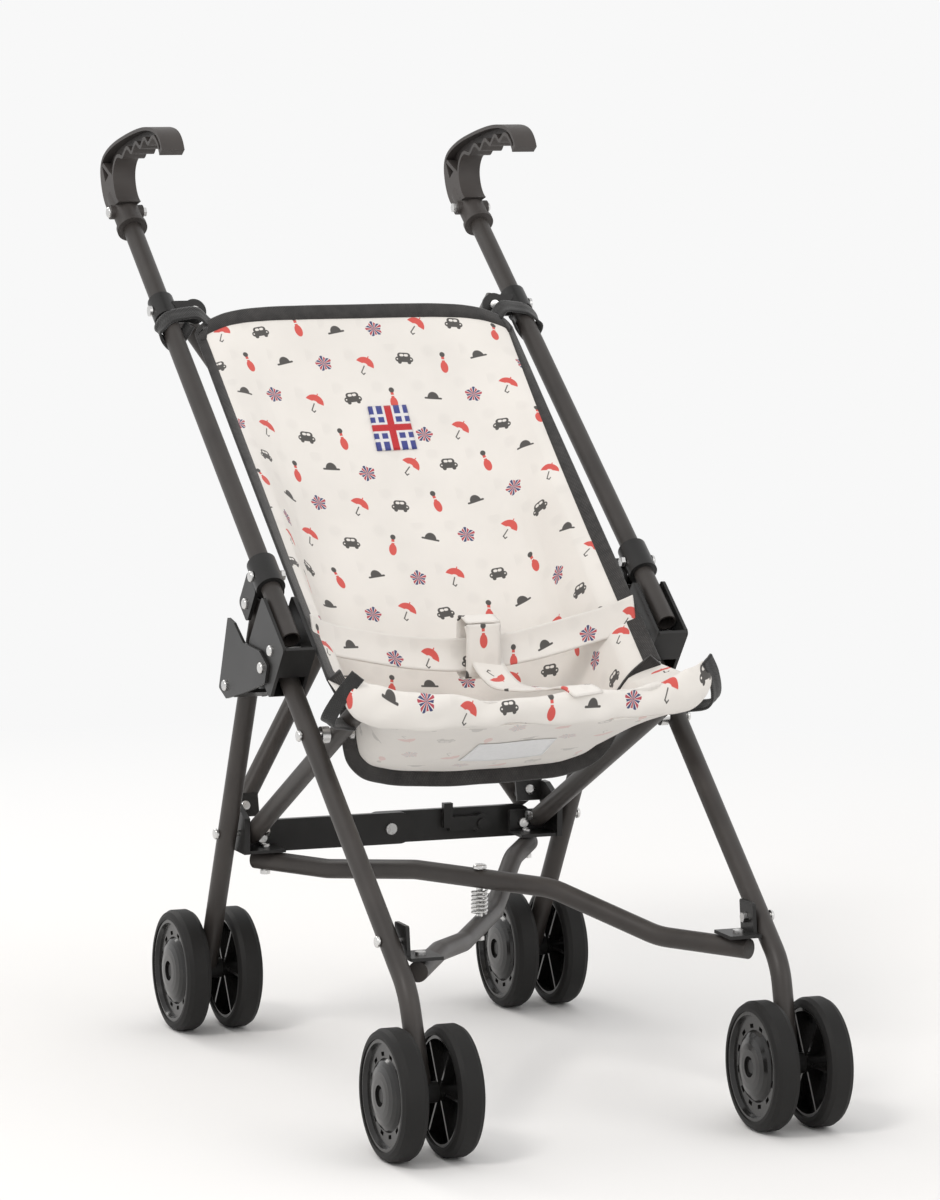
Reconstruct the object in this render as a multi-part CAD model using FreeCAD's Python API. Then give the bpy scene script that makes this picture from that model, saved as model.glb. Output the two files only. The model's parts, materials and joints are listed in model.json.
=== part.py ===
import FreeCAD, Part
import os
from math import atan2, cos, hypot, pi, sin

# Doll stroller with an umbrella fold. Millimetres, +Z up, -Y is the front, the origin is on the
# floor midway between the axles. Side parts are built on the +X side and mirrored for the left.

V = FreeCAD.Vector
UP = V(0, 0, 1)
ACROSS = V(1, 0, 0)

# --- driving dimensions -------------------------------------------------------------------
TUBE_R = 6.0                      # every frame tube is 12 mm
TUBE_WALL = 1.0
BOLT_R = 2.0
HOLE_R = 2.06                     # running clearance of 0.06 mm on a bolt
LOOSE_R = 2.6                     # hole of the loop that stays open when the frame folds
GAP = 0.3

WHEEL_R = 38.0
TYRE_W = 16.0
WHEEL_SPREAD = 9.0                # from a leg's centre to the near face of a tyre
RIM_R = 31.0
HUB_BORE_R = 2.3
AXLE_R = 2.25
FRONT_HUB = V(114.7, -188, WHEEL_R)
REAR_HUB = V(110.6, 188, WHEEL_R)

POLE_FOOT = V(122.0, 10.0, 270.3)
POLE_HEAD = V(119.2, 336.0, 512.6)
LEG_TOP = V(119.0, 37.5, 257.7)
LEG_BEND = V(116.5, -169.9, 92.9)
REAR_TOP = V(120.0, 64.5, 290.2)
REAR_PIVOT = V(120.0, 67.0, 285.0)
SEAT_REAR = V(96.0, 147.0, 129.2)
SEAT_FRONT = V(102.4, -70.0, 246.6)
SEAT_BOLT_FRONT = V(100.6, -14.4, 216.5)
SEAT_BOLT_REAR = V(96.3, 142.4, 131.7)

LOW_REAR = V(88.0, 145.0, 113.0)      # end pivots of the lower cross tubes
LOW_FRONT = V(100.0, -147.0, 100.0)
LOW_A_Z = 120.0                       # height of tube a and tube b where they cross
LOW_B_Z = 91.0
END_PAST = 6.0                        # tube left beyond a pivot

BACK_LOW = V(96.0, 168.0, 143.0)      # end pivots of the back cross tubes
BACK_HIGH = V(102.0, 250.0, 445.0)
BACK_STEP = 12.8                      # tube b lies this far behind tube a

LOCK_PIVOT = V(88.0, 158.0, 126.0)
LOCK_HALF_W = 10.0
LOCK_T = 4.0

PANEL_T = 3.0
PANEL_HALF_W = 86.0


# --- helpers ------------------------------------------------------------------------------
def rounded_path(points, radius):
    """Straight runs joined by tangent arcs of the given radius."""
    edges = []
    start = points[0]
    for before, corner, after in zip(points, points[1:], points[2:]):
        d_in = (corner - before).normalize()
        d_out = (after - corner).normalize()
        turn = d_in.getAngle(d_out)
        reach = radius * (sin(turn / 2) / cos(turn / 2))
        a = corner - d_in * reach
        b = corner + d_out * reach
        bisector = (d_out - d_in).normalize()
        centre = corner + bisector * (radius / cos(turn / 2))
        middle = centre - bisector * radius
        edges.append(Part.LineSegment(start, a).toShape())
        edges.append(Part.Arc(a, middle, b).toShape())
        start = b
    edges.append(Part.LineSegment(start, points[-1]).toShape())
    return Part.Wire(edges)


def rod(a, b, r):
    return Part.makeCylinder(r, (b - a).Length, a, b - a)


def pipe(wire, r):
    """A round bar of radius r along a wire."""
    first = wire.Edges[0]
    start = first.valueAt(first.FirstParameter)
    heading = first.tangentAt(first.FirstParameter)
    ring = Part.Wire(Part.makeCircle(r, start, heading))
    return wire.makePipeShell([ring], True, False)


def tube(points, radius=40.0):
    """A hollow frame tube through the points."""
    wire = rounded_path(points, radius)
    return pipe(wire, TUBE_R).cut(pipe(wire, TUBE_R - TUBE_WALL))


def capped(points, shape):
    """Thin domed caps over both ends."""
    caps = []
    for end, inner in ((points[0], points[1]), (points[-1], points[-2])):
        out = (end - inner).normalize()
        caps.append(rod(end + out * 0.02, end + out * 1.6, TUBE_R))
    return Part.makeCompound([shape] + caps)


def toward(a, b, distance):
    """A point past b, on the line from a."""
    return b + (b - a).normalize() * distance


def plate_yz(outline, x0, x1, round_r=0.0):
    """A flat plate with a (y, z) outline between two x positions."""
    corners = [V(x0, y, z) for y, z in outline]
    face = Part.Face(Part.makePolygon(corners + corners[:1]))
    solid = face.extrude(V(x1 - x0, 0, 0))
    if round_r:
        across = [e for e in solid.Edges if abs(e.tangentAt(e.FirstParameter).x) > 0.99]
        solid = solid.makeFillet(round_r, across)
    return solid


def box(x0, x1, y0, y1, z0, z1):
    return Part.makeBox(x1 - x0, y1 - y0, z1 - z0, V(x0, y0, z0))


def mirrored(shape):
    return shape.mirror(V(0, 0, 0), ACROSS)


def bolt(a, b, head_r=3.4, head_h=2.0):
    """A bolt from a to b: a domed head outside a and a hexagon nut outside b."""
    d = (b - a).normalize()
    top = a - d * head_h
    head = rod(top, a, head_r)
    rim = [e for e in head.Edges if e.BoundBox.Center.sub(top).Length < 0.01]
    head = head.makeFillet(head_h * 0.7, rim)
    nut = hex_prism(b, d, 3.2, 2.4)
    return head.fuse(rod(a, b + d * 1.0, BOLT_R)).fuse(nut)


def hex_prism(base, axis, r, h):
    side = UP if abs(axis.z) < 0.9 else ACROSS
    u = side.cross(axis).normalize()
    w = axis.cross(u)
    points = [base + u * (r * cos(k * pi / 3)) + w * (r * sin(k * pi / 3)) for k in range(7)]
    return Part.Face(Part.makePolygon(points)).extrude(axis * h)


# --- poles, handles and the upper joint ----------------------------------------------------
POLE_DIR = (POLE_HEAD - POLE_FOOT).normalize()
POLE_SLOPE = atan2(POLE_DIR.z, POLE_DIR.y)


def on_pole(along, above):
    """(y, z) at a distance up the pole from its foot and square to it, upwards positive."""
    c, s = cos(POLE_SLOPE), sin(POLE_SLOPE)
    return POLE_FOOT.y + along * c - above * s, POLE_FOOT.z + along * s + above * c


def pole_point(along):
    return POLE_FOOT + POLE_DIR * along


def make_pole():
    return tube([POLE_FOOT, POLE_HEAD])


HANDLE_W = 15.0
HANDLE_WEB = 3.0                  # the web between the pockets of both sides
HANDLE_BAND = 2.2
SOCKET_R = 8.6
POLE_LEN = (POLE_HEAD - POLE_FOOT).Length
HANDLE_BOLT = pole_point(POLE_LEN - 13)
HANDLE_BACK = [(339, 505), (354, 522), (355, 533), (340, 545), (315, 553), (285, 559.5), (260, 562),
               (243, 559), (233.5, 549)]
HANDLE_FRONT = [(238.5, 545.5), (244, 552), (253, 555), (261, 550.5), (268, 553.5), (276, 547.5),
                (285, 550), (293, 543.5), (302, 546), (311, 540), (320, 540), (329, 531), (328, 522),
                (318, 512)]


def spline_yz(points, x):
    curve = Part.BSplineCurve()
    curve.interpolate([V(x, y, z) for y, z in points])
    return curve.toShape()


def handle_face(x):
    """The side outline of the hook: a thick heel that thins towards the turned-down nose."""
    back, front = spline_yz(HANDLE_BACK, x), spline_yz(HANDLE_FRONT, x)
    nose = Part.LineSegment(V(x, *HANDLE_BACK[-1]), V(x, *HANDLE_FRONT[0])).toShape()
    root = Part.LineSegment(V(x, *HANDLE_FRONT[-1]), V(x, *HANDLE_BACK[0])).toShape()
    return Part.Face(Part.Wire([back, nose, front, root]))


def smooth_face(wire):
    """The face inside one closed spline along a wire."""
    curve = Part.BSplineCurve()
    curve.interpolate(wire.discretize(90)[:-1], PeriodicFlag=True)
    return Part.Face(Part.Wire(curve.toShape()))


def make_handle():
    """A hooked grip with a wavy finger side, open pockets in both sides and a round socket."""
    centre = POLE_HEAD.x
    face = handle_face(centre - HANDLE_W / 2)
    grip = face.extrude(V(HANDLE_W, 0, 0))
    room = plate_yz([(345, 523), (336, 530), (200, 470), (200, 600), (400, 600)],
                    centre - HANDLE_W, centre + HANDLE_W)
    pocket = smooth_face(face.makeOffset2D(-HANDLE_BAND).OuterWire)
    depth = (HANDLE_W - HANDLE_WEB) / 2
    for shift in (-0.01, HANDLE_W - depth + 0.01):
        hollow = pocket.extrude(V(depth, 0, 0)).translated(V(shift, 0, 0)).common(room)
        grip = grip.cut(hollow)
    rib = plate_yz([(352, 533), (350, 535), (332, 528), (334, 526)],
                   centre - HANDLE_W / 2, centre + HANDLE_W / 2)
    grip = grip.fuse(rib)
    rim = pole_point(POLE_LEN - 30)
    lip = rod(rim, rim + POLE_DIR * 3, SOCKET_R + 1.2)
    socket = rod(rim, pole_point(POLE_LEN + 2.5), SOCKET_R).fuse(lip)
    boss_reach = V(SOCKET_R + 2.2, 0, 0)
    socket = socket.fuse(rod(HANDLE_BOLT - boss_reach, HANDLE_BOLT + boss_reach, 4.6))
    handle = grip.fuse(socket)
    handle = handle.cut(rod(rim - POLE_DIR, pole_point(POLE_LEN + 0.5), TUBE_R + 0.05))
    return handle.cut(rod(HANDLE_BOLT - boss_reach * 2, HANDLE_BOLT + boss_reach * 2, HOLE_R))


BACK_UP = V(0, BACK_HIGH.y - BACK_LOW.y, BACK_HIGH.z - BACK_LOW.z).normalize()
BACK_NORMAL = ACROSS.cross(BACK_UP) * -1          # square to the back cross plane, rearwards


def upper_along():
    """How far up the pole the upper bracket sits."""
    return (BACK_HIGH - POLE_FOOT).dot(POLE_DIR)


def back_plate(x0, x1, low, high):
    """A 2 mm plate parallel to the back cross plane, in front of the tubes."""
    base = V(0, BACK_HIGH.y, BACK_HIGH.z) - BACK_NORMAL * (TUBE_R + 2.4)
    corners = [base + V(x, 0, 0) + BACK_UP * u for x, u in ((x0, low), (x1, low), (x1, high), (x0, high))]
    return Part.Face(Part.makePolygon(corners + corners[:1])).extrude(BACK_NORMAL * 2)


def make_upper_bracket():
    """A clamp round the pole with a tongue in front of the cross tube's end."""
    centre = pole_point(upper_along())
    low, high = centre - POLE_DIR * 9, centre + POLE_DIR * 9
    tongue_at = BACK_HIGH - BACK_NORMAL * (TUBE_R + 2.4)
    tongue = rod(tongue_at, tongue_at + BACK_NORMAL * 2.0, 8.0)
    clamp = rod(low, high, TUBE_R + 2.2).fuse(back_plate(BACK_HIGH.x, 116.0, -7, 7)).fuse(tongue)
    clamp = clamp.cut(rod(tongue_at - BACK_NORMAL, tongue_at + BACK_NORMAL * 4, HOLE_R))
    return clamp.cut(rod(low - POLE_DIR * 9, high + POLE_DIR * 9, TUBE_R + 0.05))


# --- the hinge between pole, front leg and rear leg -----------------------------------------
HINGE_X = 120.7
BLOCK_HALF = 8.4                  # inner half width of the hinge channel
BLOCK_T = 2.0
LINK_HALF = BLOCK_HALF + BLOCK_T + GAP
LINK_T = 1.8
COLLAR_ALONG = 55.0
EAR_X = 120.5                     # middle of the collar's two ears
HINGE_PIN = on_pole(3.0, -11.5)
LEG_PIN = on_pole(4.5, -27.0)
LINK_PIN = (92.9, 232.0)


def make_collar():
    """A sleeve on the pole with two ears that hold the rear leg's top."""
    low, high = pole_point(COLLAR_ALONG - 11), pole_point(COLLAR_ALONG + 11)
    sleeve = rod(low, high, TUBE_R + 3)
    ear = plate_yz([on_pole(COLLAR_ALONG - 9, -3.7), on_pole(COLLAR_ALONG + 9, -3.7),
                    on_pole(COLLAR_ALONG + 9, -30), on_pole(COLLAR_ALONG - 9, -30)], 0, 2.4, 3.5)
    ears = [ear.translated(V(EAR_X + 7.0, 0, 0)), ear.translated(V(EAR_X - 9.4, 0, 0))]
    return sleeve.multiFuse(ears).cut(rod(low - POLE_DIR, high + POLE_DIR, TUBE_R + 0.05))


def make_hinge_block():
    """Two walls on the pole's foot and the leg's top, joined by a web and a short front lip."""
    outline = [on_pole(-13, 4), on_pole(34, 4), on_pole(34, -36), on_pole(-13, -36)]
    inner = HINGE_X - BLOCK_HALF - BLOCK_T
    walls = plate_yz(outline, inner, inner + 2 * (BLOCK_HALF + BLOCK_T), 3.0)
    slot = plate_yz([on_pole(-20, 8), on_pole(40, 8), on_pole(40, -34), on_pole(-20, -34)],
                    HINGE_X - BLOCK_HALF, HINGE_X + BLOCK_HALF)
    lip = plate_yz([on_pole(-13, 4), on_pole(-10.8, 4), on_pole(-10.8, -18.5), on_pole(-13, -18.5)],
                   HINGE_X - BLOCK_HALF - 0.5, HINGE_X + BLOCK_HALF + 0.5)
    return walls.cut(slot).fuse(lip)


def make_link_bracket():
    """Two plates that tie the hinge block to the rear leg, with a flange under them."""
    outline = [(90, 274), (79, 272), (62, 262), (34, 261), (20, 254), (24, 243), (56, 233),
               (92, 224), (105, 229)]
    reach = LINK_HALF + LINK_T
    body = plate_yz(outline, HINGE_X - reach, HINGE_X + reach, 1.5)
    plates = body.cut(box(HINGE_X - LINK_HALF, HINGE_X + LINK_HALF, 0, 150, 200, 300))
    flange = plate_yz([(60, 234), (82, 228.2), (81.4, 226.2), (59.4, 232)],
                      HINGE_X - LINK_HALF - 0.5, HINGE_X + LINK_HALF + 0.5)
    return plates.fuse(flange)


# --- legs, seat tubes and brackets ----------------------------------------------------------
LEG_AT_SEAT_BOLT = V(118.4, SEAT_BOLT_FRONT.y, SEAT_BOLT_FRONT.z)
LEG_AT_REAR_BOLT = V(114.0, SEAT_BOLT_REAR.y, SEAT_BOLT_REAR.z)
LEG_AT_LOW_BOLT = V(116.9, -140.4, 116.3)
SEAT_SPACER_R = 5.0


def make_front_leg():
    foot = toward(LEG_BEND, FRONT_HUB, -4)
    leg = tube([LEG_TOP, LEG_BEND, foot], 40)
    return leg.cut(rod(FRONT_HUB - V(12, 0, 0), FRONT_HUB + V(12, 0, 0), 6.3))


def make_rear_leg():
    leg = tube([REAR_TOP, toward(REAR_TOP, REAR_HUB, -4)])
    return leg.cut(rod(REAR_HUB - V(12, 0, 0), REAR_HUB + V(12, 0, 0), 6.3))


def make_axle_sleeves():
    """The black sleeve between a pair of wheels, on the end of each leg."""
    sleeves = []
    for hub, above in ((FRONT_HUB, LEG_BEND), (REAR_HUB, REAR_TOP)):
        reach = V(WHEEL_SPREAD - 0.4, 0, 0)
        sleeve = rod(hub - reach, hub + reach, 6.2)
        spigot = rod(hub, toward(above, hub, -16), TUBE_R - TUBE_WALL - 0.1)
        sleeves.append(sleeve.fuse(spigot).cut(rod(hub - reach * 2, hub + reach * 2, AXLE_R + 0.05)))
    return Part.makeCompound(sleeves)


def make_axles():
    """One axle through each leg end, with a flanged head at both ends."""
    axles = []
    reach = V(WHEEL_SPREAD + TYRE_W - 1.5, 0, 0)
    for hub in (FRONT_HUB, REAR_HUB):
        axle = rod(hub - reach, hub + reach, AXLE_R)
        heads = [rod(hub + reach * side, hub + reach * side * 1.04, 4.0) for side in (1, -1)]
        axles.append(axle.multiFuse(heads))
    return Part.makeCompound(axles)


def make_seat_tube():
    return tube([SEAT_REAR, SEAT_FRONT])


def make_rear_bracket():
    """A plate between rear leg and seat tube, with ears for both crosses and the lock bar."""
    x0, x1 = 103.0, 106.6
    plate = plate_yz([(131, 119.5), (131, 142), (152, 151), (160, 151), (160, 137.5), (154.5, 134),
                      (154.5, 119.5)], x0, x1)
    floor_ear = box(79, x1, 132, 154.5, 119.5, 121.5)
    lug = box(79, x1, 151.5, 154.5, 119.5, 134)
    back_at = BACK_LOW - BACK_NORMAL * (TUBE_R + 2.4)
    face_up = BACK_UP * 8
    across = V(9, 0, 0)
    corners = [back_at - across - face_up * 0.85, back_at + across - face_up * 0.85,
               back_at + across + face_up, back_at - across + face_up]
    back_ear = Part.Face(Part.makePolygon(corners + corners[:1])).extrude(BACK_NORMAL * 2)
    bracket = plate.multiFuse([floor_ear, lug, back_ear])
    holes = [rod(LOW_REAR, LOW_REAR + UP * 12, HOLE_R),
             rod(LOCK_PIVOT - V(0, 10, 0), LOCK_PIVOT, HOLE_R),
             rod(BACK_LOW - BACK_NORMAL * 12, BACK_LOW, HOLE_R)]
    for hole in holes:
        bracket = bracket.cut(hole)
    return bracket


def make_front_bracket():
    """An angle on the front leg whose ear lies over the lower cross tube's end."""
    x0, x1 = 107.7, 109.9
    plate = plate_yz([(-152, 107), (-134, 107), (-131, 126), (-149, 126)], x0, x1, 1.5)
    ear = box(90, x1, -158, -135, 107, 109)
    return plate.fuse(ear).cut(rod(LOW_FRONT + UP * 5, LOW_FRONT + UP * 12, HOLE_R))


def side_bolts():
    """End points of every bolt through one side frame, head first."""
    out = ACROSS
    hinge = V(HINGE_X, HINGE_PIN[0], HINGE_PIN[1])
    leg = V(HINGE_X, LEG_PIN[0], LEG_PIN[1])
    link = V(HINGE_X, LINK_PIN[0], LINK_PIN[1])
    wall = BLOCK_HALF + BLOCK_T
    link_wall = LINK_HALF + LINK_T
    collar_mid = pole_point(COLLAR_ALONG)
    half = SOCKET_R + 2.2
    ear_mid = V(EAR_X, REAR_PIVOT.y, REAR_PIVOT.z)
    return [
        (HANDLE_BOLT + out * half, HANDLE_BOLT - out * half),
        (collar_mid + out * 9.2, collar_mid - out * 9.2),
        (ear_mid + out * 9.4, ear_mid - out * 9.4),
        (hinge + out * wall, hinge - out * wall),
        (leg + out * link_wall, leg - out * link_wall),
        (link + out * link_wall, link - out * link_wall),
        (LEG_AT_SEAT_BOLT + out * 6.6, SEAT_BOLT_FRONT - out * 7.1),
        (LEG_AT_REAR_BOLT + out * 6.9, SEAT_BOLT_REAR - out * 7.1),
        (LEG_AT_LOW_BOLT + out * 6.4, LEG_AT_LOW_BOLT - out * 9.3),
    ]


def make_clamp_rivet():
    """The rivet through the upper bracket's clamp, almost flush on the inside."""
    centre = pole_point(upper_along())
    face = centre + ACROSS * (TUBE_R + 2.3)
    return rod(centre - ACROSS * 8.6, face, BOLT_R).fuse(rod(face, face + ACROSS * 1.8, 3.4))


def make_seat_spacer():
    """The bush between the front leg and the seat tube."""
    a = SEAT_BOLT_FRONT + V(TUBE_R + 0.5, 0, 0)
    b = LEG_AT_SEAT_BOLT - V(TUBE_R + 0.4, 0, 0)
    return rod(a, b, SEAT_SPACER_R)


def open_pivot_studs():
    """Short studs in the front bracket's ear and the upper bracket's tongue."""
    front = rod(LOW_FRONT + UP * 6.3, LOW_FRONT + UP * 9.0, BOLT_R)
    front = front.fuse(rod(LOW_FRONT + UP * 9.0, LOW_FRONT + UP * 10.6, 3.2))
    tongue = BACK_HIGH - BACK_NORMAL * (TUBE_R + 2.4)
    upper = rod(tongue - BACK_NORMAL * 1.6, tongue, 3.2)
    upper = upper.fuse(rod(tongue, tongue + BACK_NORMAL * 2, BOLT_R))
    return [front, upper]


# --- wheels ---------------------------------------------------------------------------------
def revolve_x(outline, centre):
    """A ring turned about the X axis through centre, from (x, radius) points."""
    points = [V(centre.x + x, centre.y, centre.z + r) for x, r in outline]
    face = Part.Face(Part.makePolygon(points + points[:1]))
    return face.revolve(centre, ACROSS, 360)


def make_tyre(hub, face_out):
    """A tyre whose outer face looks along face_out (+1 or -1) from the leg."""
    s = face_out
    near, far = WHEEL_SPREAD, WHEEL_SPREAD + TYRE_W
    outline = [(s * near, RIM_R + 1.0), (s * near, WHEEL_R - 4.0), (s * (near + 1.2), WHEEL_R - 1.4),
               (s * (near + 3.8), WHEEL_R), (s * (far - 3.8), WHEEL_R), (s * (far - 1.2), WHEEL_R - 1.4),
               (s * far, WHEEL_R - 4.0), (s * far, RIM_R + 1.0)]
    return revolve_x(outline, hub)


def make_hub(hub, face_out):
    """A dished wheel disc with a domed cap outside, and a boss and ribs inside."""
    s = face_out
    near, far = WHEEL_SPREAD, WHEEL_SPREAD + TYRE_W
    r = RIM_R + 0.95
    rim = [(near + 1, r), (far - 0.6, r), (far - 0.6, r - 2), (far - 3.2, r - 3), (far - 3.6, 21.2)]
    dome = [(far - 2.0, 19.8), (far - 0.6, 17.2), (far + 0.35, 13.6), (far + 0.8, 10), (far + 0.9, 6.2)]
    bore = [(far - 1.2, 6.2), (far - 1.2, HUB_BORE_R + 2.2), (far - 4.4, HUB_BORE_R + 2.2),
            (far - 4.4, HUB_BORE_R), (near + 0.1, HUB_BORE_R)]
    inside = [(near + 0.1, 5.5), (far - 8, 5.5), (far - 8, r - 2), (near + 1, r - 2)]
    disc = revolve_x([(s * x, radius) for x, radius in rim + dome + bore + inside], hub)
    ribs = []
    for k in range(6):
        rib = box(0, TYRE_W - 8.5, -0.8, 0.8, 5, r - 1.5)
        rib = rib.translated(V(near + 1.5 if s > 0 else -near - 1.5 - (TYRE_W - 8.5), 0, 0))
        rib.rotate(V(0, 0, 0), ACROSS, 60 * k + 30)
        ribs.append(rib.translated(hub))
    slots = []
    for k in range(12):
        slot = box(-4, 4, -2.2, 2.2, 22.3, 24.7)
        slot = slot.translated(V(s * (far - 5.5), 0, 0))
        slot.rotate(V(0, 0, 0), ACROSS, 30 * k + 15)
        slots.append(slot.translated(hub))
    return disc.multiFuse(ribs).cut(Part.makeCompound(slots))


# --- lower cross ----------------------------------------------------------------------------
def low_point(side, share, z):
    """A point over the plan line of a lower tube that starts on the given side at the back."""
    x = LOW_REAR.x * side + (-LOW_FRONT.x - LOW_REAR.x) * side * share
    y = LOW_REAR.y + (LOW_FRONT.y - LOW_REAR.y) * share
    return V(x, y, z)


LOW_SHARE = LOW_REAR.x / (LOW_REAR.x + LOW_FRONT.x)
LOW_CENTRE = low_point(-1, LOW_SHARE, 0)


def low_tube(side, middle_z):
    run = hypot(LOW_REAR.x + LOW_FRONT.x, LOW_REAR.y - LOW_FRONT.y)
    past = END_PAST / run
    knots = [(-past, LOW_REAR.z), (0.14, LOW_REAR.z), (0.33, middle_z), (0.62, middle_z),
             (0.84, LOW_FRONT.z), (1 + past, LOW_FRONT.z)]
    points = [low_point(side, share, z) for share, z in knots]
    drilled = tube(points, 55)
    for x, y in ((LOW_REAR.x * side, LOW_REAR.y), (0, LOW_CENTRE.y)):
        drilled = drilled.cut(rod(V(x, y, 70), V(x, y, 140), HOLE_R))
    return capped(points, drilled)


def make_low_bolt():
    top = V(0, LOW_CENTRE.y, LOW_A_Z + TUBE_R + 0.2)
    low = V(0, LOW_CENTRE.y, LOW_B_Z - TUBE_R - 0.4)
    return bolt(top, low, 4.2, 2.6)


def make_low_spring():
    """A compression spring on the centre bolt, between the two tubes."""
    z0, z1 = LOW_B_Z + TUBE_R + 1.2, LOW_A_Z - TUBE_R - 1.2
    helix = Part.makeHelix((z1 - z0) / 6, z1 - z0, 4.4)
    helix.translate(V(0, LOW_CENTRE.y, z0))
    edge = helix.Edges[0]
    ring = Part.Wire(Part.makeCircle(0.8, edge.valueAt(edge.FirstParameter),
                                     edge.tangentAt(edge.FirstParameter)))
    return Part.Wire(helix.Edges).makePipeShell([ring], True, True)


def low_rear_bolt(side):
    top = V(LOW_REAR.x * side, LOW_REAR.y, 121.55)
    return bolt(top, V(top.x, top.y, LOW_REAR.z - TUBE_R - 0.2), 3.0, 1.8)


# --- back cross -----------------------------------------------------------------------------
BACK_SHARE = BACK_LOW.x / (BACK_LOW.x + BACK_HIGH.x)


def back_point(side, share, behind=0.0):
    """A point on the back cross tube whose foot is on the given side."""
    foot = V(BACK_LOW.x * side, BACK_LOW.y, BACK_LOW.z)
    head = V(-BACK_HIGH.x * side, BACK_HIGH.y, BACK_HIGH.z)
    return foot + (head - foot) * share + BACK_NORMAL * behind


def back_tube(side, behind):
    foot, head = back_point(side, 0, behind), back_point(side, 1, behind)
    points = [toward(head, foot, END_PAST), toward(foot, head, END_PAST)]
    centre = back_point(side, BACK_SHARE, behind)
    shape = tube(points)
    foot_hole = HOLE_R if side < 0 else LOOSE_R
    for hole, r in ((foot, foot_hole), (centre, HOLE_R)):
        shape = shape.cut(rod(hole - BACK_NORMAL * 10, hole + BACK_NORMAL * 10, r))
    return capped(points, shape)


def make_back_rivet():
    centre = back_point(-1, BACK_SHARE)
    d = BACK_NORMAL
    a, b = centre - d * (TUBE_R + 0.2), centre + d * (BACK_STEP + TUBE_R + 0.2)
    return rod(a, b, BOLT_R).fuse(rod(a - d * 1.4, a, 3.6)).fuse(rod(b, b + d * 1.4, 3.6))


def back_foot_bolt(side):
    """The pivot bolt of a back cross tube at the rear bracket."""
    ear = back_point(side, 0) - BACK_NORMAL * (TUBE_R + 2.45)
    depth = TUBE_R + 0.3 + (BACK_STEP if side > 0 else 0)
    return bolt(ear, back_point(side, 0) + BACK_NORMAL * depth, 3.2, 1.8)


def make_back_spacer():
    """The sleeve that keeps tube b behind tube a at the right rear bracket."""
    foot = back_point(1, 0)
    a, b = foot - BACK_NORMAL * (TUBE_R + 0.1), foot + BACK_NORMAL * (BACK_STEP - TUBE_R - 0.3)
    return rod(a, b, 4.5).cut(rod(a - BACK_NORMAL, b + BACK_NORMAL, LOOSE_R))


# --- lock bar -------------------------------------------------------------------------------
LATCH_X = 62.0


def lock_half(side):
    """One half of the lock bar: the left half lies in front of the right one at the middle."""
    y0 = LOCK_PIVOT.y - 2 if side < 0 else LOCK_PIVOT.y + LOCK_T - 1.5
    a = V(LOCK_PIVOT.x * side, y0, LOCK_PIVOT.z)
    b = V(-6 * side, y0, LOCK_PIVOT.z)
    deep = V(0, LOCK_T, 0)
    bar = box(min(a.x, b.x), max(a.x, b.x), y0, y0 + LOCK_T, a.z - LOCK_HALF_W, a.z + LOCK_HALF_W)
    bar = bar.fuse(rod(a, a + deep, LOCK_HALF_W)).fuse(rod(b, b + deep, LOCK_HALF_W))
    for x in (a.x, 0 if side < 0 else b.x):
        bar = bar.cut(rod(V(x, y0 - 1, a.z), V(x, y0 + LOCK_T + 1, a.z), HOLE_R))
    if side > 0:
        pin = V(LATCH_X, y0, LOCK_PIVOT.z)
        bar = bar.cut(rod(pin - V(0, 1, 0), pin + deep * 2, HOLE_R))
    return bar


def make_lock_latch():
    """A hooked lever in front of the right half, turning on its own pin."""
    y0 = LOCK_PIVOT.y - 2
    y1 = LOCK_PIVOT.y + LOCK_T - 1.8
    z = LOCK_PIVOT.z
    arm = box(40, LATCH_X, y0, y1, z - 4, z + 5)
    eye = rod(V(LATCH_X, y0, z), V(LATCH_X, y1, z), 6.0)
    hook = box(36, 42, y0, y1, z - 2, z + 14)
    return arm.multiFuse([eye, hook]).cut(rod(V(LATCH_X, y0 - 1, z), V(LATCH_X, y1 + 1, z), HOLE_R))


def make_lock_screws():
    """The screw at the middle of the left half."""
    y0 = LOCK_PIVOT.y - 2
    head = rod(V(0, y0 - 1.8, LOCK_PIVOT.z), V(0, y0, LOCK_PIVOT.z), 3.6)
    return head.fuse(rod(V(0, y0, LOCK_PIVOT.z), V(0, y0 + LOCK_T, LOCK_PIVOT.z), BOLT_R))


def make_latch_pin():
    y0, z = LOCK_PIVOT.y - 2, LOCK_PIVOT.z
    back = LOCK_PIVOT.y + 2 * LOCK_T - 1.5
    shank = rod(V(LATCH_X, y0, z), V(LATCH_X, back, z), BOLT_R)
    return shank.fuse(rod(V(LATCH_X, y0 - 1.6, z), V(LATCH_X, y0, z), 3.4))


def lock_pivot_pin(side):
    """The pin through a rear bracket's lug and one half of the lock bar."""
    x, z = LOCK_PIVOT.x * side, LOCK_PIVOT.z
    back = LOCK_PIVOT.y + (LOCK_T - 2 if side < 0 else 2 * LOCK_T - 1.5) + 0.3
    pin = rod(V(x, 150.0, z), V(x, back, z), BOLT_R)
    heads = [rod(V(x, back, z), V(x, back + 1.8, z), 3.4), rod(V(x, 149.4, z), V(x, 151.4, z), 3.0)]
    return pin.multiFuse(heads)


# --- fabric, plain closed solids --------------------------------------------------------------
SEAT_FRONT_EDGE = (-68.0, 230.0)  # (y, z) of the seat panel's front
SEAT_SEAM = (14.0, 181.0)         # where seat and back panel meet, the lowest line of the sling
SEAT_REAR_EDGE = (8.5, 184.0)
BACK_HEAD = (228.0, 449.0)
HEAD_HALF_W = 101.0
WING_TOP = V(106.0, 222.0, 434.0)
WING_FRONT = V(105.0, 2.0, 262.0)
FABRIC_T = 2.2


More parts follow.
